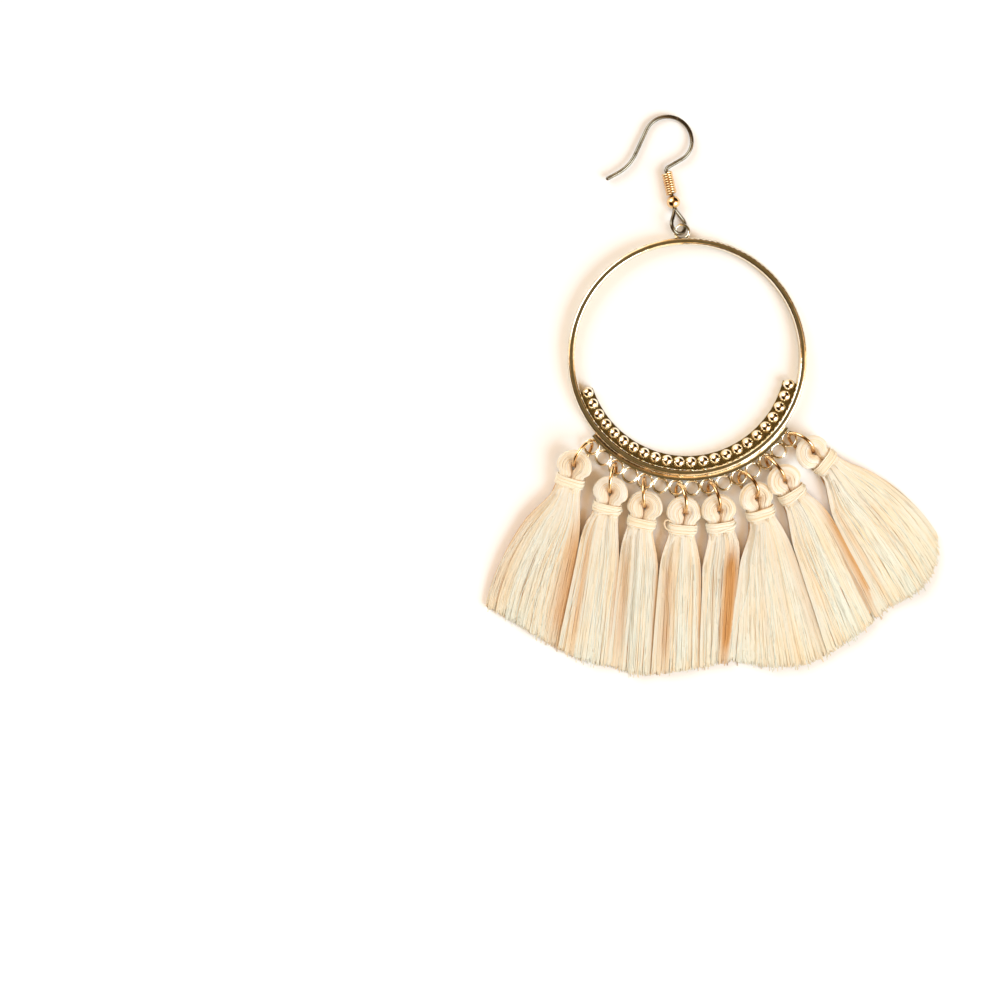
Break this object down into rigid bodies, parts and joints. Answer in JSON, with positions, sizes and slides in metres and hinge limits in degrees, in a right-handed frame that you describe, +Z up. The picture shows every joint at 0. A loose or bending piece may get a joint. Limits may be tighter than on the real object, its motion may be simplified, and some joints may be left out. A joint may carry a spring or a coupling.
{
  "type": "tassel earring",
  "caption": "Hoop drop earring on a fish-hook ear wire, with a bead-edged crescent, a row of eyelets and a fan of cream thread tassels on jump rings.",
  "frame": {"origin": "centre of the hoop, on the surface that the earring lies on", "axes": "+Z up from the surface, +Y from the tassels towards the ear wire, +X to the right as seen from above"},
  "size_m": [0.0762, 0.0934, 0.0054],
  "materials": {
    "cast_gold": "polished pale gold plate on a zinc casting",
    "ear_wire": "bright pale gold wire",
    "gold_wire": "bright gold-plated wire",
    "thread": "silky cream thread",
    "binding_thread": "silky cream thread, wound"
  },
  "bodies": {
    "root": {"hoop": "cast_gold", "ear_hook": "ear_wire", "hook_coil": "gold_wire", "hook_bead": "gold_wire", "jump_ring_1": "gold_wire", "jump_ring_2": "gold_wire", "jump_ring_3": "gold_wire", "jump_ring_4": "gold_wire", "jump_ring_5": "gold_wire", "jump_ring_6": "gold_wire", "jump_ring_7": "gold_wire", "jump_ring_8": "gold_wire", "tassel_1": "thread", "tassel_2": "thread", "tassel_3": "thread", "tassel_4": "thread", "tassel_5": "thread", "tassel_6": "thread", "tassel_7": "thread", "tassel_8": "thread", "binding_1": "binding_thread", "binding_2": "binding_thread", "binding_3": "binding_thread", "binding_4": "binding_thread", "binding_5": "binding_thread", "binding_6": "binding_thread", "binding_7": "binding_thread", "binding_8": "binding_thread"}
  },
  "joints": []
}
